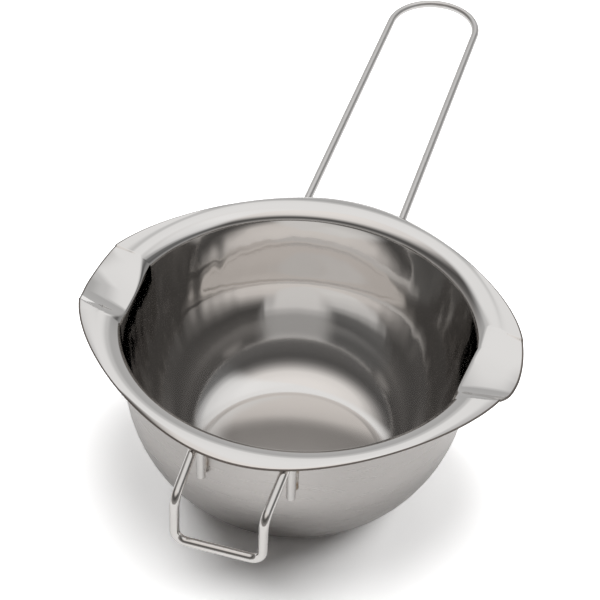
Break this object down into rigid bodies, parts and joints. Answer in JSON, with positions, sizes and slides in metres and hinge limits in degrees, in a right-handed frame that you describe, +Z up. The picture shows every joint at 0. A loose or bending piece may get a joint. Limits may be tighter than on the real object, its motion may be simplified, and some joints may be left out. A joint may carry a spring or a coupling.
{
  "type": "double boiler bowl",
  "caption": "Pressed stainless steel bowl with a wide flange, opposed pouring spouts, a long wire handle and a short wire hook that rests on a pan rim.",
  "frame": {"origin": "centre of the flat base, on the surface the bowl stands on", "axes": "+Z up, out of the bowl; +Y from the centre of the bowl to the end of the long handle; -Y to the rest hook; +X and -X to the pouring spouts"},
  "size_m": [0.145, 0.3005, 0.0641],
  "materials": {
    "bowl_steel": "deep-drawn stainless sheet, mirror polished inside and on the flange, satin outside",
    "wire_steel": "drawn stainless wire, polished",
    "weld_steel": "resistance weld, brushed over, a little darker than the wire"
  },
  "bodies": {
    "root": {"bowl": "bowl_steel", "handle_wire": "wire_steel", "handle_weld_left": "weld_steel", "handle_weld_right": "weld_steel", "hook_wire": "wire_steel", "hook_weld_left": "weld_steel", "hook_weld_right": "weld_steel"}
  },
  "joints": []
}
